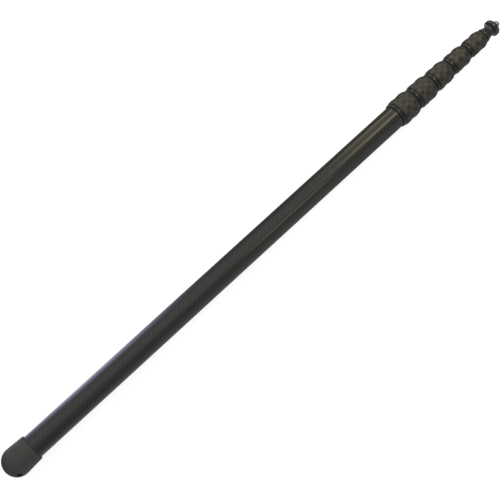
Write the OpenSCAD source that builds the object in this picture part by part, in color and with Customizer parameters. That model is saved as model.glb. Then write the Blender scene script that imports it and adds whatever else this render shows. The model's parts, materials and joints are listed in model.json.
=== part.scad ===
// Telescopic audio boom pole: six tubes that nest in each other, five twist-lock collars,
// a domed rubber end cap and a tip fitting with a threaded stud.
// The pole lies along +X with its tip at +X. The origin is on its axis, in the middle of the
// bare length of base tube where a holder clamps it. All lengths are in millimetres.

/* [Tubes] */
// Outside diameter of the base tube
base_od = 36; // [33:0.5:42]
// How much smaller each tube is than the one around it, in diameter
od_step = 3.4; // [3.2:0.1:3.8]
// Wall of every tube
tube_wall = 1.0; // [0.8:0.05:1.1]
// Distance from the end of the dome to the first collar
collar_start = 761.2; // [400:0.1:1200]

/* [Collars] */
// Distance from one collar to the next with the pole closed
collar_pitch = 39.2; // [39.2:0.1:48]
// Largest radius of a rubber grip, measured out from its own tube
grip_rise = 3.5; // [3.2:0.1:4.5]
// Depth of the waist between the two swells of a grip
waist_depth = 0.7; // [0.2:0.1:1]

/* [End cap] */
// Length of the rubber cap
cap_len = 49.1; // [44:0.1:60]
// Height of the cap's dome
dome_len = 20.5; // [19:0.5:22]
// Diameter of the cable hole in the shoulder of the dome
cable_hole_d = 7.4; // [5:0.1:7.6]
// How far round from the horizontal the cable hole sits, in degrees
cable_hole_roll = 25; // [0:5:60]

/* [Tip] */
// Diameter of the threaded stud
stud_d = 9.525; // [9.525, 15.875]
// Length of the stud in front of the flange
stud_len = 8.5; // [8:0.5:12]
// Diameter of the flange that the microphone mount seats on
flange_d = 26.8; // [25.6:0.2:32]

/* [Hidden] */
$fn = 96;
section_count = 6;

// Gaps between pieces: radial for the fits, axial for the play
running = 0.05;
sliding = 0.1;
clear_gap = 0.35;
end_play = 0.1;
closed_gap = 0.7;

// Ferrule, measured forward from its back face
skirt_len = 5.2;
skirt_edge_len = 1.4;
skirt_back_rise = 1.7;
skirt_edge_rise = 2.1;
skirt_front_rise = 2.3;
tube_seat = 22;
ferrule_len = 25;
thread_root_rise = 0.75;
thread_crest_rise = 1.05;
thread_from = 6.5;
thread_lead = 1.5;
thread_turns = 10;

// Collet, measured from the same face
collet_from = ferrule_len + 0.3;
collet_cone_from = collet_from + 2.2;
collet_to = 33.3;
collet_back_rise = 0.9;
collet_nose_wall = 1.3;
cone_gap = 0.08;
collet_slot_w = 1.2;
collet_slots = 8;

// Nut and grip, measured from the same face
nut_from = skirt_len + 0.3;
nut_to = collar_pitch - closed_gap;
nut_barrel_rise = 2.0;
nut_shoulder_from = 31;
nut_shoulder_to = 36;
nose_rise = 0.15;
nose_round = 0.5;
grip_to = collar_pitch - 1.4;
grip_edge_rise = 2.6;
grip_edge_to = 9;
grip_top_rise = 0.5;
grip_shoulder_from = 28;
waist_at = 19.8;
waist_half = 7;

// Bushes and rings inside the tubes
front_bush_len = 50;
ring_len = 8;
groove_len = ring_len + 2 * end_play;
groove_depth = 0.6;
ring_slot_w = 1.5;
bush_flange_len = 3;
bush_spigot_len = 26;
bush_wall = 1.2;
buffer_len = 8;
buffer_hole_r = 8;

// End cap
cap_rise = 3.8;
cap_r = base_od / 2 + cap_rise;
cap_taper = 1.45;
cap_lip_len = 3.5;
cap_lip_rise = 0.4;
cap_seat = 20;
cap_ledge = 1.5;
cap_end_wall = 3.5;
cable_hole_at = 12.9;
cable_hole_in = 7;
cable_hole_out = 6;

// Tip fitting, measured forward from its back face
tip_socket_len = 2;
tip_spigot_len = 25;
tip_spigot_wall = 2;
tip_spigot_end = 4;
tip_base_r = 11.6;
tip_base_len = 2.2;
tip_neck_at = 12.8;
tip_neck_r = 8.45;
tip_flare_at = 18.2;
tip_flare_in = 0.7;
tip_rim_from = 18.9;
tip_rim_to = 22;
tip_top = 26.2;
tip_face_r = 8.6;
stud_hole_depth = 16;
stud_hole_spare = 0.5;
stud_thread_depth = 0.77;
stud_chamfer = 0.8;
stud_mouth_gap = 0.4;
stud_mouth_depth = 1.2;

tip_x = collar_x(section_count);
first_back = cap_seat + buffer_len + clear_gap + bush_flange_len + groove_len;
holder_x = (cap_len + collar_start) / 2;

SECTIONS = [for (s = [2 : section_count]) s];
COLLARS = [for (k = [1 : section_count - 1]) k];

// Tube 1 is the base tube, and tube 6 carries the tip fitting.
function tube_r(s) = (base_od - od_step * (s - 1)) / 2;
function tube_ri(s) = tube_r(s) - tube_wall;

// Back face of collar k. The tip fitting sits where a sixth collar would.
function collar_x(k) = collar_start + collar_pitch * (k - 1);
function tube_back(s) = s == 1 ? cap_seat : first_back + collar_pitch * (s - 2);
function tube_front(s) = s == section_count ? tip_x + tip_socket_len : collar_x(s) + tube_seat;

// Outlines below are lists of [radius, distance along the pole].
// The rises are radii measured out from the tube that the collar is fixed to.
function risen(r, points) = [for (p = points) [r + p[0], p[1]]];

// Places a part made along +Z on the pole's axis, x mm from the end of the dome.
module on_axis(x = 0)
    translate([x - holder_x, 0, 0]) rotate([0, 90, 0]) children();

// Turns an outline about the pole's axis.
module turned(outline, x = 0)
    on_axis(x) rotate_extrude() polygon(outline);

// ---- tubes ----

module tube(s)
    turned([
        [tube_ri(s), tube_back(s)],
        [tube_r(s), tube_back(s)],
        [tube_r(s), tube_front(s)],
        [tube_ri(s), tube_front(s)]
    ]);

module base_tube() color([0.13, 0.13, 0.12]) tube(1);

module section_tube(s) color([0.17, 0.17, 0.16]) tube(s);

// ---- end cap ----

// Half section of the cap: dome, tapered side, rounded lip, tube seat and hollow end.
function cap_outline() =
    let (
        side_r = cap_r - cap_taper,
        lip_r = base_od / 2 + cap_lip_rise,
        hollow_r = base_od / 2 - cap_ledge,
        dome = [for (a = [0 : 5 : 90]) [cap_r * sin(a), dome_len * (1 - cos(a))]],
        lip = [for (a = [0 : 15 : 90])
            [lip_r + (side_r - lip_r) * cos(a), cap_len - cap_lip_len * (1 - sin(a))]],
        hollow = [for (a = [0 : 7.5 : 90])
            [hollow_r * cos(a), cap_seat - (cap_seat - cap_end_wall) * sin(a)]]
    )
    concat(dome, lip, [[base_od / 2, cap_len], [base_od / 2, cap_seat]], hollow);

// Cutter for the cable hole, square to the dome where it goes through.
module cable_hole_cutter() {
    dome_angle = acos(1 - cable_hole_at / dome_len);
    tilt = atan2(cap_r * cos(dome_angle), dome_len * sin(dome_angle));
    on_axis(cable_hole_at)
        rotate([0, 0, -90 - cable_hole_roll])
            translate([cap_r * sin(dome_angle), 0, 0])
                rotate([0, 90 + tilt, 0])
                    translate([0, 0, -cable_hole_in])
                        cylinder(h = cable_hole_in + cable_hole_out, d = cable_hole_d);
}

module end_cap()
    color([0.25, 0.25, 0.23])
    difference() {
        turned(cap_outline());
        cable_hole_cutter();
    }

// Rubber ring at the bottom of the base tube that the closed sections land on.
module buffer_ring()
    color([0.1, 0.1, 0.1])
    turned([
        [buffer_hole_r, cap_seat],
        [tube_ri(1), cap_seat],
        [tube_ri(1), cap_seat + buffer_len],
        [buffer_hole_r, cap_seat + buffer_len]
    ]);

// ---- guides between one tube and the next ----

// Plug in the back of section s. Its flange and the tube's end hold the glide ring.
module end_bush(s) {
    flange_r = tube_ri(s - 1) - clear_gap;
    floor_r = tube_r(s) - groove_depth;
    bore_r = tube_ri(s) - bush_wall;
    groove_x = tube_back(s) - groove_len;
    color([0.75, 0.74, 0.7])
    turned([
        [bore_r, groove_x - bush_flange_len],
        [flange_r, groove_x - bush_flange_len],
        [flange_r, groove_x],
        [floor_r, groove_x],
        [floor_r, tube_back(s)],
        [tube_ri(s), tube_back(s)],
        [tube_ri(s), tube_back(s) + bush_spigot_len],
        [bore_r, tube_back(s) + bush_spigot_len]
    ]);
}

// Split ring that carries section s inside the tube around it.
module glide_ring(s) {
    inner_r = tube_r(s) - groove_depth + running;
    outer_r = tube_ri(s - 1) - running;
    back = tube_back(s) - groove_len + end_play;
    color([0.9, 0.9, 0.86])
    difference() {
        turned([
            [inner_r, back],
            [outer_r, back],
            [outer_r, back + ring_len],
            [inner_r, back + ring_len]
        ]);
        on_axis(back - 1)
            translate([0, -ring_slot_w / 2, 0])
                cube([outer_r + 1, ring_slot_w, ring_len + 2]);
    }
}

// Guide sleeve in the mouth of tube k. The glide ring behind it stops against it.
module front_bush(k)
    color([0.75, 0.74, 0.7])
    turned([
        [tube_r(k + 1) + sliding, tube_front(k) - front_bush_len],
        [tube_ri(k), tube_front(k) - front_bush_len],
        [tube_ri(k), tube_front(k)],
        [tube_r(k + 1) + sliding, tube_front(k)]
    ]);

// ---- twist-lock collars ----

// Metal sleeve glued over the mouth of tube k, with the thread that the nut turns on.
module ferrule(k) {
    root = thread_root_rise;
    crest = thread_crest_rise;
    thread = [for (i = [0 : thread_turns - 1]) for (p = [[0, crest], [0.3, crest], [0.75, root], [1, root]])
        [p[1], thread_from + (i + p[0]) * thread_lead]];
    outside = concat(
        [[0, 0], [skirt_back_rise, 0], [skirt_edge_rise, skirt_edge_len]],
        [[skirt_front_rise, skirt_len], [root, skirt_len], [root, thread_from]],
        thread,
        [[root, ferrule_len], [clear_gap - od_step / 2, ferrule_len]],
        [[clear_gap - od_step / 2, tube_seat], [0, tube_seat]]
    );
    color([0.1, 0.1, 0.1]) turned(risen(tube_r(k), outside), collar_x(k));
}

// Slotted plastic cone that the nut squeezes onto tube k + 1.
module collet(k) {
    bore = running - od_step / 2;
    color([0.85, 0.84, 0.8])
    difference() {
        turned(risen(tube_r(k), [
            [bore, collet_from],
            [collet_back_rise, collet_from],
            [collet_back_rise, collet_cone_from],
            [collet_nose_wall - od_step / 2, collet_to],
            [bore, collet_to]
        ]), collar_x(k));
        for (i = [0 : collet_slots - 1])
            on_axis(collar_x(k) + collet_cone_from)
                rotate([0, 0, i * 360 / collet_slots])
                    translate([0, -collet_slot_w / 2, 0])
                        cube([tube_r(k) + 5, collet_slot_w, collet_to]);
    }
}

// Outside of the nut, which is also the inside of the rubber grip.
function nut_barrel() = [
    [nut_barrel_rise, nut_from],
    [nut_barrel_rise, nut_shoulder_from],
    [nose_rise, nut_shoulder_to]
];

// Locking nut: thread bore at the back, cone over the collet, plain nose at the front.
module nut(k) {
    bore = clear_gap - od_step / 2;
    thread_bore = thread_crest_rise + running;
    cone_from = collet_back_rise + cone_gap;
    cone_to = collet_nose_wall - od_step / 2 + cone_gap;
    slope = (cone_to - cone_from) / (collet_to - collet_cone_from);
    cone_end = collet_to + 0.3;
    outline = concat(
        nut_barrel(),
        [[nose_rise, nut_to - nose_round], [nose_rise - nose_round, nut_to], [bore, nut_to]],
        [[bore, cone_end], [cone_to + slope * (cone_end - collet_to), cone_end]],
        [[thread_bore, collet_cone_from + (thread_bore - cone_from) / slope]],
        [[thread_bore, nut_from]]
    );
    color([0.08, 0.08, 0.08]) turned(risen(tube_r(k), outline), collar_x(k));
}

// Rubber sleeve over the nut: two swells with a waist between them and a rounded front.
module grip(k) {
    edge = [for (a = [0 : 18 : 90])
        [grip_edge_rise + (grip_rise - grip_edge_rise) * sin(a),
         nut_from + (grip_edge_to - nut_from) * (1 - cos(a))]];
    waist = [for (a = [-180 : 30 : 180])
        [grip_rise - waist_depth * (1 + cos(a)) / 2, waist_at + waist_half * a / 180]];
    shoulder = [for (a = [0 : 10 : 90])
        [grip_top_rise + (grip_rise - grip_top_rise) * cos(a),
         grip_shoulder_from + (grip_to - grip_shoulder_from) * a / 90]];
    inside = [[nose_rise, grip_to], [nose_rise, nut_shoulder_to], [nut_barrel_rise, nut_shoulder_from]];
    outline = concat([[nut_barrel_rise, nut_from]], edge, waist, shoulder, inside);
    color([0.3, 0.29, 0.25]) turned(risen(tube_r(k), outline), collar_x(k));
}

// ---- tip ----

// Hub with a spigot in the last tube, a waisted neck and the flange that a mount seats on.
module tip_fitting() {
    last_r = tube_r(section_count);
    last_ri = tube_ri(section_count);
    rim_r = flange_d / 2;
    hole_r = stud_d / 2 - stud_thread_depth;
    mouth_r = stud_d / 2 + stud_mouth_gap;
    back = tip_socket_len - tip_spigot_len;
    taper = [for (t = [0 : 0.2 : 0.8])
        [tip_neck_r + (tip_base_r - tip_neck_r) * pow(1 - t, 1.25),
         tip_base_len + (tip_neck_at - tip_base_len) * t]];
    flare = [for (t = [0 : 0.2 : 1])
        [tip_neck_r + (rim_r - tip_flare_in - tip_neck_r) * pow(t, 2),
         tip_neck_at + (tip_flare_at - tip_neck_at) * t]];
    under_rim = [for (a = [30 : 30 : 90])
        [rim_r - tip_flare_in * (1 - sin(a)),
         tip_flare_at + (tip_rim_from - tip_flare_at) * (1 - cos(a))]];
    rim = [for (a = [0 : 15 : 90])
        [tip_face_r + (rim_r - tip_face_r) * cos(a), tip_rim_to + (tip_top - tip_rim_to) * sin(a)]];
    outline = concat(
        [[0, tip_spigot_end], [last_ri - tip_spigot_wall, tip_spigot_end]],
        [[last_ri - tip_spigot_wall, back], [last_ri, back], [last_ri, tip_socket_len]],
        [[last_r, tip_socket_len], [last_r, 0], [tip_base_r, 0]],
        taper, flare, under_rim, rim,
        [[mouth_r, tip_top], [hole_r, tip_top - stud_mouth_depth]],
        [[hole_r, tip_top - stud_hole_depth], [0, tip_top - stud_hole_depth]]
    );
    color([0.14, 0.14, 0.15]) turned(outline, tip_x);
}

// Steel stud. It is drawn at its root diameter below the countersunk mouth of its hole.
module tip_stud() {
    r = stud_d / 2;
    root = r - stud_thread_depth;
    back = tip_top - stud_hole_depth + stud_hole_spare;
    front = tip_top + stud_len;
    color([0.75, 0.75, 0.76])
    turned([
        [0, back],
        [root, back],
        [root, tip_top - stud_thread_depth],
        [r, tip_top],
        [r, front - stud_chamfer],
        [r - stud_chamfer, front],
        [0, front]
    ], tip_x);
}

base_tube();
end_cap();
buffer_ring();
for (s = SECTIONS) {
    section_tube(s);
    end_bush(s);
    glide_ring(s);
}
for (k = COLLARS) {
    front_bush(k);
    ferrule(k);
    collet(k);
    nut(k);
    grip(k);
}
tip_fitting();
tip_stud();
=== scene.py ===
"""The looks of the boom pole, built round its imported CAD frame."""

import json
import math

import bmesh
import bpy
from mathutils import Matrix, Vector


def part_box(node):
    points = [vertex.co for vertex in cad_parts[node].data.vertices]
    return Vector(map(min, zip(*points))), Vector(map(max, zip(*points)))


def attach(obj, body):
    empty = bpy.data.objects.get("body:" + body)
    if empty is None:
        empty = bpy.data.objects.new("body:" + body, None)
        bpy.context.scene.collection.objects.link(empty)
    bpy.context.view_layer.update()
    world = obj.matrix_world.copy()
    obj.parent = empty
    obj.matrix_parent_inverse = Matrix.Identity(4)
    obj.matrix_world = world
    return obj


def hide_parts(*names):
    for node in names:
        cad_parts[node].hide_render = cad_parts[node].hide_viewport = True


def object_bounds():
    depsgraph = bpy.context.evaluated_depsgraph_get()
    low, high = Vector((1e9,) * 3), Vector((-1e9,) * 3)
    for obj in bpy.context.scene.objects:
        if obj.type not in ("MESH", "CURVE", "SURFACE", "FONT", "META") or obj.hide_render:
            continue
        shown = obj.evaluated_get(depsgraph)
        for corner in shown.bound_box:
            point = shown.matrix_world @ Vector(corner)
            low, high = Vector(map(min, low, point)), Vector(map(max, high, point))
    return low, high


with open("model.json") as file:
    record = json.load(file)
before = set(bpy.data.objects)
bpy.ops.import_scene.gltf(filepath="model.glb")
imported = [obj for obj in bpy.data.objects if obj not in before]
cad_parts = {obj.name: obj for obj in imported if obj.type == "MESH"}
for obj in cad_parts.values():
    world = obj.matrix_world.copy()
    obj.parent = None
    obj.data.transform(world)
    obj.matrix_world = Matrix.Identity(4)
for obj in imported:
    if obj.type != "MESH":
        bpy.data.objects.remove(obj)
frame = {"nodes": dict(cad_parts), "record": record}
cad_low, cad_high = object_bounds()

MM = 0.001
TURN = 2 * math.pi
AROUND = 128
SECTIONS = range(1, 7)
COLLARS = range(1, 6)
HAIR = 0.02  # keeps a visual face off one that it would share, in millimetres


# ---- outlines: lists of (distance along the pole, radius, edge) in millimetres ----
# edge is 1 on a rounded corner, where a finish wears, and 0 elsewhere.


def rounded(points, radius, steps=4, loop=False):
    """An outline with its corners rounded. A third number in a point is that corner's own radius."""
    corners = [(Vector(p[:2]), p[2] if len(p) > 2 else radius) for p in points]
    count = len(corners)
    outline = []
    for i, (corner, size) in enumerate(corners):
        if not loop and i in (0, count - 1):
            outline.append((corner.x, corner.y, 0.0))
            continue
        back = corners[i - 1][0] - corner
        on = corners[(i + 1) % count][0] - corner
        half = back.angle(on) / 2
        if size == 0 or half > math.radians(86):
            outline.append((corner.x, corner.y, 0.0))
            continue
        cut = min(size / math.tan(half), 0.48 * back.length, 0.48 * on.length)
        start = corner + back.normalized() * cut
        end = corner + on.normalized() * cut
        for step in range(steps + 1):
            t = step / steps
            point = start * (1 - t) ** 2 + corner * 2 * t * (1 - t) + end * t**2
            edge = math.sin(math.pi * t) if half < math.radians(75) else 0.0
            outline.append((point.x, point.y, edge))
    return outline


def smooth(curve, start, end, steps):
    """Points of a curve given as a function from 0 to 1."""
    return [curve(start + (end - start) * i / steps) for i in range(steps + 1)]


# ---- meshes ----


def finish_mesh(name, bm, sharp=40):
    bmesh.ops.remove_doubles(bm, verts=bm.verts, dist=1e-7)
    bmesh.ops.recalc_face_normals(bm, faces=bm.faces)
    mesh = bpy.data.meshes.new(name)
    bm.to_mesh(mesh)
    bm.free()
    mesh.shade_smooth()
    mesh.set_sharp_from_angle(angle=math.radians(sharp))
    obj = bpy.data.objects.new(name, mesh)
    bpy.context.scene.collection.objects.link(obj)
    return obj


def turned(name, outline, start, loop=False, around=AROUND, angles=None, shape=None, sharp=40):
    """Turns an outline in millimetres about the pole's axis. start is the place of its zero, in metres.

    shape(x, angle, radius) may return a changed radius and a value for the mesh's "mark" attribute.
    """
    bm = bmesh.new()
    edge_layer = bm.verts.layers.float.new("edge")
    mark_layer = bm.verts.layers.float.new("mark")
    angles = angles or [TURN * i / around for i in range(around)]
    rings = []
    for x, radius, edge in outline:
        ring = []
        for angle in angles if radius > 1e-4 else angles[:1]:
            r, mark = shape(x, angle, radius) if shape else (radius, 0.0)
            place = (start + x * MM, r * MM * math.cos(angle), r * MM * math.sin(angle))
            vert = bm.verts.new(place)
            vert[edge_layer] = edge
            vert[mark_layer] = mark
            ring.append(vert)
        rings.append(ring)
    pairs = list(zip(rings, rings[1:]))
    if loop:
        pairs.append((rings[-1], rings[0]))
    for one, two in pairs:
        for i in range(len(angles)):
            j = (i + 1) % len(angles)
            corners = [one[i % len(one)], one[j % len(one)], two[j % len(two)], two[i % len(two)]]
            corners = list(dict.fromkeys(corners))
            if len(corners) > 2:
                bm.faces.new(corners)
    return finish_mesh(name, bm, sharp)


# ---- materials ----


class Nodes:
    """Short calls for building the nodes of a material or a world."""

    def __init__(self, tree):
        self.tree = tree

    def add(self, kind, links=(), **settings):
        node = self.tree.nodes.new(kind)
        for key, value in settings.items():
            setattr(node, key, value)
        for socket, value in dict(links).items():
            self.put(node.inputs[socket], value)
        return node

    def put(self, socket, value):
        if isinstance(value, bpy.types.NodeSocket):
            self.tree.links.new(value, socket)
        else:
            socket.default_value = value

    def math(self, operation, *values, clamp=False):
        node = self.add("ShaderNodeMath", operation=operation, use_clamp=clamp)
        for socket, value in zip(node.inputs, values):
            self.put(socket, value)
        return node.outputs[0]

    def ramp(self, value, low, high, out_low=0.0, out_high=1.0):
        sockets = {"Value": value, "From Min": low, "From Max": high, "To Min": out_low, "To Max": out_high}
        return self.add("ShaderNodeMapRange", sockets).outputs[0]

    def smoothstep(self, value, low, high, out_high=1.0):
        sockets = {"Value": value, "From Min": low, "From Max": high, "To Max": out_high}
        node = self.add("ShaderNodeMapRange", sockets, interpolation_type="SMOOTHSTEP")
        return node.outputs[0]

    def mix(self, factor, one, two):
        node = self.add("ShaderNodeMix", data_type="RGBA")
        self.put(node.inputs[0], factor)
        self.put(node.inputs[6], one)
        self.put(node.inputs[7], two)
        return node.outputs[2]

    def where(self):
        return self.add("ShaderNodeTexCoord").outputs["Object"]

    def scaled(self, vector, scale):
        node = self.add("ShaderNodeVectorMath", {0: vector, 1: scale}, operation="MULTIPLY")
        return node.outputs[0]

    def noise(self, vector, scale, detail=3.0, rough=0.5):
        node = self.add("ShaderNodeTexNoise", {"Vector": vector, "Scale": scale, "Detail": detail,
                                               "Roughness": rough})
        return node.outputs["Fac"]

    def mark(self, name):
        return self.add("ShaderNodeAttribute", attribute_name=name).outputs["Fac"]

    def bump(self, height, strength, distance, under=None):
        node = self.add("ShaderNodeBump", {"Height": height, "Strength": strength, "Distance": distance})
        if under:
            self.put(node.inputs["Normal"], under)
        return node.outputs[0]


class Surface(Nodes):
    """A material and its main shader."""

    def __init__(self, name):
        self.material = bpy.data.materials.new(name)
        self.material.use_nodes = True
        super().__init__(self.material.node_tree)
        self.shader = self.tree.nodes["Principled BSDF"]

    def set(self, **values):
        for name, value in values.items():
            self.put(self.shader.inputs[name.replace("_", " ")], value)


def grey(value, warm=0.0):
    """A colour near grey. warm above 0 leans to olive, below 0 to blue."""
    return (value * (1 + 0.4 * warm), value * (1 + 0.3 * warm), value * (1 - warm), 1.0)


TOW = 2.0 * MM
TWILL = 4  # tows in one repeat of the weave
MANY = 1000 * TWILL  # keeps the count of tows above 0 everywhere


def carbon(name, radius):
    """Twill carbon fibre under clear lacquer, with whole numbers of tows round the tube."""
    n = Surface(name)
    cells = TWILL * round(TURN * radius / (TWILL * TOW))
    place = n.add("ShaderNodeSeparateXYZ", {0: n.where()}).outputs
    angle = n.math("ARCTAN2", place["Z"], place["Y"])
    across = n.math("MULTIPLY_ADD", angle, cells / TURN, cells)
    along = n.math("MULTIPLY_ADD", place["X"], 1 / TOW, float(MANY))
    diagonal = n.math("ADD", n.math("FLOOR", across), n.math("FLOOR", along))
    step = n.math("FLOORED_MODULO", diagonal, float(TWILL))
    warp = n.math("LESS_THAN", step, 1.5)

    def crown(value):
        wave = n.math("SINE", n.math("MULTIPLY", n.math("FRACT", value), math.pi))
        return n.math("POWER", wave, 0.5)

    height = n.add("ShaderNodeMix", {0: warp, 2: crown(along), 3: crown(across)}).outputs[0]
    threads = n.noise(n.scaled(n.where(), (300.0, 6000.0, 6000.0)), 1.0, 2.0)
    # The colour is darkest at each tow's edges, where the tows dip under each other: painted shade in the
    # weave's dips, varied by the thread noise.
    tone = n.math("MULTIPLY", height, n.ramp(threads, 0.3, 0.7, 0.75, 1.0))
    smudge = n.noise(n.scaled(n.where(), (8.0, 60.0, 60.0)), 1.0, 4.0)
    # The weft tows are painted darker than the warp tows, a painted highlight along the warp; the smudge adds
    # random tone.
    shade = n.math("ADD", n.math("MULTIPLY", tone, n.ramp(warp, 0.0, 1.0, 0.55, 1.0)),
                   n.ramp(smudge, 0.3, 0.7, -0.15, 0.15))
    n.set(
        Base_Color=n.mix(shade, grey(0.003, 0.1), grey(0.017, 0.15)),
        Roughness=n.ramp(warp, 0.0, 1.0, 0.5, 0.42),
        Specular_IOR_Level=0.0,
        Coat_Weight=0.8,
        Coat_Roughness=0.19,
        Coat_IOR=1.5,
        Normal=n.bump(height, 0.4, 0.00005),
    )
    return n.material


def rubber(name, dark, light, rough, shine=0.4, grain=0.00004):
    """Moulded rubber with a fine grain. The "mark" attribute lightens raised pads: a painted highlight on
    their tops, with painted shade in the sunk rubber between them.
    """
    n = Surface(name)
    where = n.where()
    mottle = n.noise(where, 260.0, 4.0, 0.6)
    fine = n.noise(where, 2600.0, 3.0, 0.6)
    dust = n.noise(where, 45.0, 5.0, 0.65)
    # The mark paints the raised pads lighter, a painted highlight, and leaves the sunk rubber darker, a
    # painted shade; the mottle is the rubber's own tone.
    tone = n.math("ADD", n.ramp(mottle, 0.35, 0.65, 0.0, 0.35), n.math("MULTIPLY", n.mark("mark"), 0.6))
    tone = n.math("ADD", tone, n.math("MULTIPLY", n.mark("edge"), 0.25), clamp=True)
    n.set(
        Base_Color=n.mix(tone, dark, light),
        Roughness=n.ramp(dust, 0.35, 0.7, rough - 0.06, rough + 0.08),
        Specular_IOR_Level=shine,
        Normal=n.bump(fine, 0.5, grain),
    )
    return n.material


def anodised(name, dark, light, rough, shine):
    """Black anodised aluminium with faint turning lines and rubbed edges."""
    n = Surface(name)
    where = n.where()
    x = n.add("ShaderNodeSeparateXYZ", {0: where}).outputs["X"]
    lines = n.math("SINE", n.math("MULTIPLY", x, TURN / (0.25 * MM)))
    wear_noise = n.noise(where, 420.0, 4.0, 0.7)
    wear = n.math("MULTIPLY", n.mark("edge"), n.ramp(wear_noise, 0.45, 0.7), clamp=True)
    cloud = n.noise(where, 70.0, 3.0)
    colour = n.mix(n.ramp(cloud, 0.35, 0.65), dark, light)
    n.set(
        Base_Color=n.mix(n.math("MULTIPLY", wear, 0.3), colour, grey(0.3)),
        Roughness=n.ramp(cloud, 0.35, 0.65, rough - 0.04, rough + 0.05),
        Specular_IOR_Level=shine,
        Normal=n.bump(lines, 0.12, 0.00001),
    )
    return n.material


def glossy(name, colour, rough):
    """Glossy moulded plastic with faint scuffs."""
    n = Surface(name)
    where = n.where()
    scuffs = n.noise(n.scaled(where, (40.0, 900.0, 900.0)), 1.0, 4.0, 0.7)
    cloud = n.noise(where, 120.0, 3.0)
    n.set(
        Base_Color=n.mix(n.ramp(cloud, 0.3, 0.7), colour, tuple(c * 1.5 for c in colour[:3]) + (1.0,)),
        Roughness=n.ramp(scuffs, 0.4, 0.8, rough, rough + 0.25),
        Normal=n.bump(cloud, 0.08, 0.0001),
    )
    return n.material


def plastic(name, dark, light, rough):
    """Natural machined plastic with turning lines."""
    n = Surface(name)
    where = n.where()
    x = n.add("ShaderNodeSeparateXYZ", {0: where}).outputs["X"]
    lines = n.math("SINE", n.math("MULTIPLY", x, TURN / (0.4 * MM)))
    cloud = n.noise(where, 90.0, 4.0)
    n.set(
        Base_Color=n.mix(n.ramp(cloud, 0.3, 0.7), dark, light),
        Roughness=n.ramp(cloud, 0.3, 0.7, rough - 0.05, rough + 0.08),
        Subsurface_Weight=0.05,
        Subsurface_Scale=0.001,
        Normal=n.bump(lines, 0.2, 0.00002),
    )
    return n.material


def steel(name):
    """Bare machined steel, with painted shade in the thread roots and faint stains."""
    n = Surface(name)
    where = n.where()
    streaks = n.noise(n.scaled(where, (4000.0, 200.0, 200.0)), 1.0, 3.0)
    stain = n.noise(where, 500.0, 4.0)
    # The mark is the thread's height: the roots are painted dark, a painted shade, and the stain noise varies
    # the crests.
    colour = n.mix(n.math("MULTIPLY", n.mark("mark"), n.ramp(stain, 0.3, 0.7, 0.6, 1.0)),
                   grey(0.2, 0.05), grey(0.72, 0.02))
    n.set(
        Base_Color=colour,
        Metallic=1.0,
        Roughness=n.ramp(streaks, 0.3, 0.7, 0.22, 0.38),
        Normal=n.bump(streaks, 0.15, 0.00002),
    )
    return n.material


# GRIP_LIGHT is the rubber's lighter mottled tone and also the painted highlight on the raised pads; GRIP_DARK
# is also the painted shade between them.
GRIP_DARK = (0.009, 0.0078, 0.0078, 1.0)
GRIP_LIGHT = (0.036, 0.0318, 0.0275, 1.0)

# The tubes aren't here: each has its own carbon, because the weave has to close round it.
MATERIALS = {
    "cap_rubber": rubber("cap rubber", grey(0.028, 0.05), grey(0.055, 0.08), 0.62),
    "buffer_rubber": rubber("buffer rubber", grey(0.015), grey(0.035), 0.7),
    "grip_rubber": rubber("grip rubber", GRIP_DARK, GRIP_LIGHT, 0.4, 0.34),
    "guide_plastic": plastic("guide plastic", grey(0.5, 0.08), grey(0.62, 0.08), 0.45),
    "glide_plastic": plastic("glide plastic", grey(0.72, 0.06), grey(0.84, 0.06), 0.35),
    "collet_plastic": plastic("collet plastic", grey(0.6, 0.1), grey(0.72, 0.1), 0.4),
    "ferrule_metal": anodised("black anodised ferrule", grey(0.002, -0.1), grey(0.004, -0.1), 0.2, 0.35),
    "tip_metal": anodised("black anodised tip", grey(0.004, -0.3), grey(0.008, -0.3), 0.17, 0.5),
    "nut_plastic": glossy("glossy nut plastic", grey(0.004, -0.1), 0.14),
    "stud_steel": steel("stud steel"),
}
SLOTS = {part["node"]: part["material_slot"] for part in frame["record"]["subparts"]}


def wear(obj, node, material=None):
    """Gives a piece its material, and has it stand for its CAD node and ride on that node's body."""
    slot = SLOTS[node]
    obj.data.materials.clear()
    obj.data.materials.append(material or MATERIALS[slot])
    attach(obj, BODY_OF[node])
    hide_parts(node)
    return obj


BODY_OF = {
    node: body
    for body, members in frame["record"]["behaviour"]["bodies"].items()
    for node in members
}


# ---- tubes ----


def tube_node(section):
    return "base_tube" if section == 1 else f"tube_{section}"


def tube_radius(section):
    """Outside radius of a section's tube, in millimetres."""
    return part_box(tube_node(section))[1].z / MM


TUBE_WALL = 1.0
MOUTH_ROUND = 0.3


def tube(section):
    node = tube_node(section)
    low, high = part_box(node)
    radius = tube_radius(section)
    length = (high.x - low.x) / MM
    outline = rounded(
        [(0, radius), (length, radius), (length, radius - TUBE_WALL), (0, radius - TUBE_WALL)],
        MOUTH_ROUND, loop=True)
    obj = turned(node + "_body", outline, low.x, loop=True)
    wear(obj, node, carbon(f"carbon twill {section}", radius * MM))


# ---- end cap ----

DOME_LEN = 20.5
CAP_TAPER = 1.45
CAP_LIP_LEN = 3.5
CAP_LIP_RISE = 0.4
CAP_SEAT = 20.0
CAP_END_WALL = 3.5
CAP_LEDGE = 1.5
HOLE_FLARE = 0.9
CUTTER_INWARD = 6.0


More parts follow.
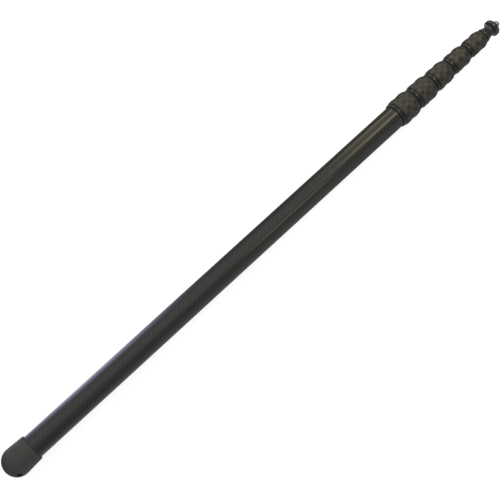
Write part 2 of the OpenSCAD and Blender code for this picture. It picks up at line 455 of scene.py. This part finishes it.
def end_cap():
    low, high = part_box("end_cap")
    radius = high.z / MM
    length = (high.x - low.x) / MM
    tube_r = tube_radius(1)
    side_r = radius - CAP_TAPER
    lip_r = tube_r + CAP_LIP_RISE
    hollow_r = tube_r - CAP_LEDGE
    quarter = math.pi / 2
    dome = smooth(lambda t: (DOME_LEN * (1 - math.cos(t)), radius * math.sin(t), 0.0), 0, quarter, 28)
    lip_from = length - CAP_LIP_LEN
    side = [
        (DOME_LEN + (lip_from - DOME_LEN) * i / 8, radius - CAP_TAPER * i / 8, 0.0) for i in range(1, 8)
    ]
    lip = smooth(
        lambda t: (lip_from + CAP_LIP_LEN * math.sin(t), lip_r + (side_r - lip_r) * math.cos(t), 0.3 * t),
        0, quarter, 10)
    inside = [(length, tube_r + HAIR, 0.0), (CAP_SEAT, tube_r + HAIR, 0.0)]
    hollow = smooth(
        lambda t: (CAP_SEAT - (CAP_SEAT - CAP_END_WALL) * math.sin(t), hollow_r * math.cos(t), 0.0),
        0, quarter, 14)
    cap = turned("end_cap_body", dome + side + lip + inside + hollow, low.x, around=160)

    hole = next(m for m in frame["record"]["mounts"] if m["name"] == "cable_exit")
    hole_r = hole["dims"]["r_mm"]
    out = hole["dims"]["length_mm"] / 2
    flare = smooth(
        lambda t: (out - HOLE_FLARE * math.cos(t) + 0.25, hole_r + HOLE_FLARE * (1 - math.sin(t)), 0.0),
        quarter, math.radians(12), 8)
    cutter_outline = [(-CUTTER_INWARD, 0.0, 0.0), (-CUTTER_INWARD, hole_r, 0.0)] + flare
    wide = flare[-1][1]
    cutter_outline += [(out + 1.5, wide + 1.0, 0.0), (out + 1.5, 0.0, 0.0)]
    cutter = turned("cable_hole_cutter", cutter_outline, 0.0, around=72)
    turn = Vector((1, 0, 0)).rotation_difference(Vector(hole["axis"])).to_matrix().to_4x4()
    cutter.data.transform(Matrix.Translation(Vector(hole["pos_m"])) @ turn)
    cut = cap.modifiers.new("cable hole", "BOOLEAN")
    cut.object = cutter
    cut.operation = "DIFFERENCE"
    cut.solver = "EXACT"
    shaped = bpy.data.meshes.new_from_object(cap.evaluated_get(bpy.context.evaluated_depsgraph_get()))
    cap.modifiers.clear()
    cap.data = shaped
    cap.data.name = "end_cap_body"
    bpy.data.objects.remove(cutter)
    shaped.shade_smooth()
    shaped.set_sharp_from_angle(angle=math.radians(40))
    wear(cap, "end_cap")


# ---- collars ----
# Distances are from the back of the ferrule, and a rise is above the outside of the tube it sits on.

RUNNING_GAP = 0.35  # between a bore and the next tube

FERRULE_SOCKET = 22.0
SKIRT_LEN = 5.2
SKIRT_EDGE = 1.4
SKIRT_BACK_RISE = 1.65
SKIRT_EDGE_RISE = 2.08
SKIRT_RISE = 2.3
GROOVE_AT = 3.1
GROOVE_RISE = 1.9
THREAD_FROM = 6.5
THREAD_LEAD = 1.5
THREAD_TURNS = 10
THREAD_TO = 21.6
THREAD_CREST = 1.05
THREAD_ROOT = 0.75

NUT_FROM = 5.5
NUT_BORE_RISE = 1.1
NUT_BORE_TO = 26.0
NUT_RISE = 1.97
NUT_BARREL_TO = 31.0
NUT_NECK_FROM = 36.0
NUT_NECK_RISE = 0.13
NUT_NOSE_LEN = 1.0
NUT_NOSE_DROP = 0.35
CONE_FROM = 27.5
CONE_FROM_RISE = 0.98
CONE_TO = 33.6
CONE_TO_DROP = 0.33

GRIP_EDGE_TO = 9.0
GRIP_EDGE_RISE = 2.6
GRIP_SHOULDER_FROM = 28.0
GRIP_TOP_RISE = 0.5
GRIP_TOP_EDGE = 0.35
GRIP_BARREL_RISE = 2.0
GRIP_NECK_RISE = 0.15
WAIST_AT = 19.8
WAIST_HALF = 7.0
WAIST_DEPTH = 0.7
PAD_SIZE = 7.0
PAD_DEPTH = 0.45
PAD_ROWS = 4
PAD_FROM = 7.2
PAD_FADE = 0.5
PAD_STEEPNESS = 9.0
PAD_STOPS = (0.0, 0.06, 0.28, 0.5, 0.72, 0.94)


def risen(radius, points):
    """Points whose radius is given as a rise above the tube's."""
    return [(p[0], radius + p[1]) + tuple(p[2:]) for p in points]


def ferrule(k):
    node = f"ferrule_{k}"
    low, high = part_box(node)
    tube_r = tube_radius(k)
    length = (high.x - low.x) / MM
    lip = tube_radius(k + 1) + RUNNING_GAP - tube_r
    skirt = rounded(risen(tube_r, [
        (FERRULE_SOCKET, HAIR),
        (0.0, HAIR, 0.1),
        (0.0, SKIRT_BACK_RISE, 0.5),
        (SKIRT_EDGE, SKIRT_EDGE_RISE, 0.5),
        (GROOVE_AT, GROOVE_RISE + 0.25, 0.25),
        (GROOVE_AT + 0.25, GROOVE_RISE, 0.12),
        (GROOVE_AT + 0.6, GROOVE_RISE, 0.12),
        (GROOVE_AT + 0.85, GROOVE_RISE + 0.3, 0.25),
        (SKIRT_LEN, SKIRT_RISE, 0.3),
        (SKIRT_LEN, THREAD_ROOT, 0.1),
        (THREAD_FROM, THREAD_ROOT, 0.1),
    ]), 0.2)
    thread = []
    for i in range(THREAD_TURNS):
        at = THREAD_FROM + i * THREAD_LEAD
        thread += risen(tube_r, [
            (at, THREAD_CREST, 0.3),
            (at + 0.45, THREAD_CREST, 0.3),
            (at + 1.1, THREAD_ROOT, 0),
            (at + 1.45, THREAD_ROOT, 0),
        ])
    end = rounded(risen(tube_r, [
        (THREAD_TO, THREAD_ROOT),
        (length, THREAD_ROOT, 0.2),
        (length, lip, 0.2),
        (FERRULE_SOCKET, lip, 0.1),
        (FERRULE_SOCKET, HAIR),
    ]), 0.2)
    obj = turned(node + "_body", skirt + thread + end, low.x)
    wear(obj, node)


def nut(k):
    node = f"nut_{k}"
    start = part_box(f"ferrule_{k}")[0].x
    tube_r = tube_radius(k)
    to = (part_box(node)[1].x - start) / MM
    bore = tube_radius(k + 1) + RUNNING_GAP - tube_r
    outline = rounded(risen(tube_r, [
        (NUT_FROM, NUT_BORE_RISE, 0.1),
        (NUT_FROM, NUT_RISE, 0.15),
        (NUT_BARREL_TO, NUT_RISE, 1.0),
        (NUT_NECK_FROM, NUT_NECK_RISE, 0.6),
        (to - NUT_NOSE_LEN, NUT_NECK_RISE, 0.1),
        (to, -NUT_NOSE_DROP, 0.5),
        (to, bore, 0.15),
        (CONE_TO, bore, 0.1),
        (CONE_TO, -CONE_TO_DROP, 0.1),
        (CONE_FROM, CONE_FROM_RISE, 0.3),
        (NUT_BORE_TO, NUT_BORE_RISE, 0.3),
    ]), 0.2, loop=True)
    wear(turned(node + "_body", outline, start, loop=True), node)


def grip(k):
    node = f"grip_{k}"
    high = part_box(node)[1]
    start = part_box(f"ferrule_{k}")[0].x
    tube_r = tube_radius(k)
    rise = high.z / MM - tube_r
    to = (high.x - start) / MM
    pads_round = 2 * round(math.pi * (tube_r + rise) / PAD_SIZE)
    pads_to = PAD_FROM + PAD_ROWS * PAD_SIZE

    def outside(x):
        """Rise of the plain rubber at a distance along the collar."""
        if x < GRIP_EDGE_TO:
            swell = math.sqrt(max(0.0, 1 - ((GRIP_EDGE_TO - x) / (GRIP_EDGE_TO - NUT_FROM)) ** 2))
            return GRIP_EDGE_RISE + (rise - GRIP_EDGE_RISE) * swell
        if x > GRIP_SHOULDER_FROM:
            fall = math.cos(math.pi / 2 * (x - GRIP_SHOULDER_FROM) / (to - GRIP_SHOULDER_FROM))
            return GRIP_TOP_RISE + (rise - GRIP_TOP_RISE) * fall
        if abs(x - WAIST_AT) < WAIST_HALF:
            return rise - WAIST_DEPTH * (1 + math.cos(math.pi * (x - WAIST_AT) / WAIST_HALF)) / 2
        return rise

    def soft_square(value):
        return max(-1.0, min(1.0, PAD_STEEPNESS * math.sin(math.pi * value)))

    def pads(x, angle, radius):
        """Sinks the rubber between the pads, on the outside only."""
        if radius - tube_r < outside(x) - 0.1 or not PAD_FROM < x < pads_to:
            return radius, 0.0
        row = (x - PAD_FROM) / PAD_SIZE
        column = angle / TURN * pads_round
        fade = min(1.0, (x - PAD_FROM) / PAD_FADE, (pads_to - x) / PAD_FADE)
        raised = 0.5 + 0.5 * soft_square(row) * soft_square(column)
        # The second value is the mark that paints the pad tops lighter in the grip rubber: a painted
        # highlight, with painted shade between the pads.
        return radius - PAD_DEPTH * (1 - raised) * fade, raised * fade

    stops = [NUT_FROM + (PAD_FROM - NUT_FROM) * (i / 7) ** 1.6 for i in range(1, 8)]
    stops += [PAD_FROM + (row + stop) * PAD_SIZE for row in range(PAD_ROWS) for stop in PAD_STOPS]
    stops += [pads_to - 0.05]
    stops += [pads_to + (to - GRIP_TOP_EDGE - pads_to) * i / 4 for i in range(1, 5)]
    skin = [(x, tube_r + outside(x), 0.0) for x in stops]
    rim = rounded(risen(tube_r, [
        (NUT_FROM, GRIP_BARREL_RISE),
        (NUT_FROM, outside(NUT_FROM), 0.35),
        (stops[0], outside(stops[0])),
    ]), 0.3)
    top = rounded(risen(tube_r, [
        (stops[-1], outside(stops[-1])),
        (to, GRIP_TOP_RISE - 0.05, 0.2),
        (to, GRIP_NECK_RISE),
    ]), 0.2)
    inside = risen(tube_r, [(NUT_NECK_FROM, GRIP_NECK_RISE, 0.0), (NUT_BARREL_TO, GRIP_BARREL_RISE, 0.0)])
    angles = [TURN * (column + stop) / pads_round for column in range(pads_round) for stop in PAD_STOPS]
    obj = turned(node + "_body", rim[:-1] + skin + top[1:] + inside, start, loop=True, angles=angles,
                 shape=pads, sharp=60)
    wear(obj, node)


# ---- tip ----
# Distances along the hub are from its shoulder, which the last tube's end sits 2 mm inside.

TIP_SOCKET = 2.0
TIP_BASE_R = 11.6
TIP_BASE_LEN = 2.2
TIP_NECK_R = 8.45
TAPER_LEN = 10.6
TAPER_POWER = 1.25
TAPER_JOIN = 0.094  # share of the taper at which the rounded shoulder meets it
FLARE_LEN = 5.4
RIM_ROUND = 0.7
CROWN_AT = 22.0
CROWN_RISE = 4.2
FACE_R = 8.6
SPIGOT_LEN = 23.0
SPIGOT_WALL = 2.0
SPIGOT_FLOOR = 4.0
STUD_HOLE = 16.0
MOUTH_DEPTH = 1.2
MOUTH_FLARE = 0.4
STUD_PITCH = 25.4 / 16
STUD_DEPTH = 0.77
STUD_ROOT_SHARE = 0.2
STUD_FLANK_SHARE = 0.62
RINGS_PER_PITCH = 16


def tip_fitting():
    low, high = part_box("tip_fitting")
    start = low.x
    zero = (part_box("tube_6")[1].x - start) / MM - TIP_SOCKET
    tube_r = tube_radius(6)
    tube_in = tube_r - TUBE_WALL
    spigot_in = tube_in - SPIGOT_WALL
    rim_r = high.z / MM
    stud_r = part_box("tip_stud")[1].z / MM
    top = (high.x - start) / MM
    hole_r = stud_r - STUD_DEPTH
    neck_at = TIP_BASE_LEN + TAPER_LEN
    rim_at = neck_at + FLARE_LEN
    quarter = math.pi / 2

    def at(points):
        return [(zero + p[0], p[1]) + tuple(p[2:]) for p in points]

    def taper_r(t):
        return TIP_NECK_R + (TIP_BASE_R - TIP_NECK_R) * (1 - t) ** TAPER_POWER

    hub = rounded(at([
        (SPIGOT_FLOOR, 0.0),
        (SPIGOT_FLOOR, spigot_in, 0.3),
        (-SPIGOT_LEN, spigot_in, 0.3),
        (-SPIGOT_LEN, tube_in, 0.4),
        (TIP_SOCKET, tube_in, 0.1),
        (TIP_SOCKET, tube_r - HAIR, 0.05),
        (0.0, tube_r - HAIR, 0.05),
        (0.0, TIP_BASE_R - HAIR, 0.35),
        (TIP_BASE_LEN, TIP_BASE_R - HAIR, 0.8),
        (TIP_BASE_LEN + 1.0, taper_r(TAPER_JOIN) - HAIR),
    ]), 0.2)
    taper = smooth(
        lambda t: (zero + TIP_BASE_LEN + TAPER_LEN * t, taper_r(t) - HAIR, 0.0), 0.12, 1.0, 14)
    flare_rise = rim_r - RIM_ROUND - TIP_NECK_R
    flare = smooth(
        lambda t: (zero + neck_at + FLARE_LEN * t, TIP_NECK_R + flare_rise * t * t, 0.0), 0.0, 1.0, 14)
    under = smooth(
        lambda t: (zero + rim_at + RIM_ROUND * (1 - math.cos(t)), rim_r - RIM_ROUND * (1 - math.sin(t)), 0.5),
        math.radians(12), quarter, 6)
    crown = smooth(
        lambda t: (zero + CROWN_AT + CROWN_RISE * math.sin(t), FACE_R + (rim_r - FACE_R) * math.cos(t), 0.0),
        0.0, quarter, 14)
    face = rounded([
        (top, FACE_R),
        (top, stud_r + MOUTH_FLARE, 0.15),
        (top - MOUTH_DEPTH, hole_r, 0.1),
        (top - STUD_HOLE, hole_r, 0.1),
        (top - STUD_HOLE, 0.0),
    ], 0.15)
    obj = turned("tip_fitting_body", hub[:-1] + taper + flare[1:] + under + crown + face[1:], start)
    wear(obj, "tip_fitting")


def tip_stud():
    low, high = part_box("tip_stud")
    radius = high.z / MM
    root = radius - STUD_DEPTH
    length = (high.x - low.x) / MM
    thread_from = (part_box("tip_fitting")[1].x - low.x) / MM - MOUTH_DEPTH

    def thread(x, angle, r):
        """Raises the helix from the root, and fades it in at the hub and out at the end."""
        if r < root - 0.01 or x < thread_from:
            return r, 0.0
        turn = (x / STUD_PITCH - angle / TURN) % 1.0
        height = min(1.0, max(0.0, (abs(turn - 0.5) * 2 - STUD_ROOT_SHARE) / STUD_FLANK_SHARE))
        limit = min(radius, root - 0.1 + max(0.0, length - x), root + (x - thread_from))
        return min(limit, root + STUD_DEPTH * height), height

    count = int((length - thread_from) / STUD_PITCH * RINGS_PER_PITCH)
    rings = [thread_from + i * STUD_PITCH / RINGS_PER_PITCH for i in range(count)]
    outline = [(0.0, 0.0, 0.0), (0.0, root - 0.3, 0.0), (0.3, root, 0.0)]
    outline += [(x, root + 0.01, 0.0) for x in rings]
    outline += [
        (length - 0.08, root - 0.05, 0.0),
        (length, root - 0.2, 0.0),
        (length, 1.4, 0.0),
        (length - 0.3, 1.0, 0.0),
        (length - 0.4, 0.0, 0.0),
    ]
    wear(turned("tip_stud_body", outline, low.x, around=72, shape=thread, sharp=50), "tip_stud")


# ---- build ----

for section in SECTIONS:
    tube(section)
end_cap()
for k in COLLARS:
    ferrule(k)
    nut(k)
    grip(k)
tip_fitting()
tip_stud()
# The tubes' CAD nodes are replaced, so the glossy plastic only fills their empty slot.
for node, obj in frame["nodes"].items():
    obj.data.materials.clear()
    obj.data.materials.append(MATERIALS.get(SLOTS[node], MATERIALS["nut_plastic"]))


# ---- floor, light and camera ----


def plain(name, colour, rough, glow):
    """A matt floor. Its glow lifts it just over white, and a shadow still shows faintly."""
    n = Surface(name)
    drift = n.noise(n.where(), 3.0, 2.0)
    n.set(
        Base_Color=n.mix(drift, colour, tuple(0.98 * c for c in colour[:3]) + (1.0,)),
        Roughness=rough,
        Specular_IOR_Level=0.1,
        Emission_Color=(1.0, 1.0, 1.0, 1.0),
        Emission_Strength=glow,
    )
    return n.material


FLOOR_SIZE = 400.0
FLOOR_GREY = (0.3, 0.3, 0.3, 1.0)
FLOOR_GLOW = 0.84
bm = bmesh.new()
bmesh.ops.create_grid(bm, x_segments=2, y_segments=2, size=FLOOR_SIZE / 2)
floor = finish_mesh("floor", bm)
floor.location.z = cad_low.z
floor.data.materials.append(plain("floor", FLOOR_GREY, 0.9, FLOOR_GLOW))
floor.visible_glossy = False
floor.visible_diffuse = False

# The camera looks down on the pole from the tip's right, a little towards the cap.
AZIMUTH = math.radians(-43.466)
ELEVATION = math.radians(74.4)
DISTANCE = 1.3046
LENS = 64.8
SENSOR = 36.0
AIM_FROM_CAP = 0.438
SHIFT_RIGHT = 0.0149
SHIFT_UP = 0.01184
FAR_CLIP = 1000.0
back = Vector((math.sin(AZIMUTH) * math.cos(ELEVATION), -math.cos(AZIMUTH) * math.cos(ELEVATION),
               math.sin(ELEVATION)))
right = Vector((math.cos(AZIMUTH), math.sin(AZIMUTH), 0.0))
up = back.cross(right)
tip_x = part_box("tip_fitting")[1].x
look_at = Vector((cad_low.x + AIM_FROM_CAP, 0.0, 0.0))
camera = bpy.data.objects.new("camera", bpy.data.cameras.new("camera"))
bpy.context.scene.collection.objects.link(camera)
camera.location = look_at + back * DISTANCE + right * SHIFT_RIGHT + up * SHIFT_UP
camera.rotation_euler = Matrix((right, up, back)).transposed().to_euler()
camera.data.lens = LENS
camera.data.sensor_width = SENSOR
camera.data.clip_end = FAR_CLIP
bpy.context.scene.camera = camera

view_across = Vector((0.0, back.y, back.z)).normalized()


def round_axis(degrees):
    """Direction square to the pole, turned from the camera's side towards +Y."""
    return Matrix.Rotation(math.radians(-degrees), 3, "X") @ view_across


def light(name, place, aim, size, energy, colour):
    data = bpy.data.lights.new(name, "AREA")
    data.shape = "RECTANGLE"
    data.size, data.size_y = size
    data.energy = energy
    data.color = colour
    obj = bpy.data.objects.new(name, data)
    bpy.context.scene.collection.objects.link(obj)
    obj.location = place
    away = (Vector(place) - Vector(aim)).normalized()
    along = Vector((1.0, 0.0, 0.0))
    along = (along - away * along.dot(away)).normalized()
    obj.rotation_euler = Matrix((along, away.cross(along), away)).transposed().to_euler()
    return obj


WARM = (1.0, 0.88, 0.4)
STRIP_AWAY = 0.6
# A strip is its name, its angle round the pole, its width, its radiance, and where along the pole it
# starts and ends, from the tip.
STRIPS = (
    ("side near", 78, 0.18, 2.5, 0.0, 0.35),
    ("side mid", 78, 0.18, 1.9, -0.08, 0.35),
    ("side far", 78, 0.18, 0.5, -0.2, 0.35),
    ("top near", 14, 0.19, 4.0, 0.0, 0.35),
    ("top mid", 14, 0.19, 2.2, -0.08, 0.35),
    ("top far", 14, 0.19, 0.5, -0.2, 0.35),
    ("between", 46, 0.3, 0.35, -0.05, 0.35),
    ("third", -17, 0.11, 2.2, -0.4, -0.13),
)
for name, angle, width, radiance, begins, ends in STRIPS:
    length = ends - begins
    centre = Vector((tip_x + (begins + ends) / 2, 0, 0))
    light("strip " + name, centre + round_axis(angle) * STRIP_AWAY, centre, (length, width),
          math.pi * length * width * radiance, WARM)


ROOM_LOW = (0.3, 0.31, 0.33, 1.0)
ROOM_HIGH = (0.72, 0.72, 0.72, 1.0)
# A lobe is a soft light in the room: its angle round the pole, its lean along it, its spread in
# degrees, its colour, its strength, and how narrow it is along the pole (0 for as wide as its spread).
LOBES = (
    (45, 0.0, 70, (1.0, 0.99, 0.96), 0.6, 0.0),
    (-120, -0.35, 55, (1.0, 0.98, 0.94), 0.5, 0.0),
    (-78, 0.4, 40, (0.96, 0.94, 1.0), 0.5, 0.0),
    (122, -0.07, 48, (0.7, 0.73, 1.0), 3.6, 0.2),
)


def studio(world):
    """A dim room, lighter overhead, with the lobes added to it."""
    n = Nodes(world.node_tree)
    direction = n.add("ShaderNodeTexCoord").outputs["Generated"]
    parts = n.add("ShaderNodeSeparateXYZ", {0: direction}).outputs
    room = n.add("ShaderNodeValToRGB", {"Fac": parts["Z"]})
    for stop, colour in zip(room.color_ramp.elements, (ROOM_LOW, ROOM_HIGH)):
        stop.color = colour
    total = room.outputs["Color"]
    for angle, lean, spread, colour, strength, narrow in LOBES:
        towards = (round_axis(angle) + Vector((lean, 0.0, 0.0))).normalized()
        dot = n.add("ShaderNodeVectorMath", {0: direction, 1: towards}, operation="DOT_PRODUCT")
        amount = n.smoothstep(dot.outputs["Value"], math.cos(math.radians(spread)), 1.0, strength)
        if narrow:
            off = n.math("ABSOLUTE", n.math("SUBTRACT", parts["X"], towards.x))
            amount = n.math("MULTIPLY", amount, n.smoothstep(off, narrow, 0.0))
        lit = n.add("ShaderNodeMix", {0: amount, 6: total, 7: colour + (1.0,)}, data_type="RGBA",
                    blend_type="ADD", clamp_result=False, clamp_factor=False)
        total = lit.outputs[2]
    n.put(world.node_tree.nodes["Background"].inputs["Color"], total)


world = bpy.data.worlds.new("studio")
bpy.context.scene.world = world
world.use_nodes = True
studio(world)
bpy.context.scene.view_settings.view_transform = "Standard"
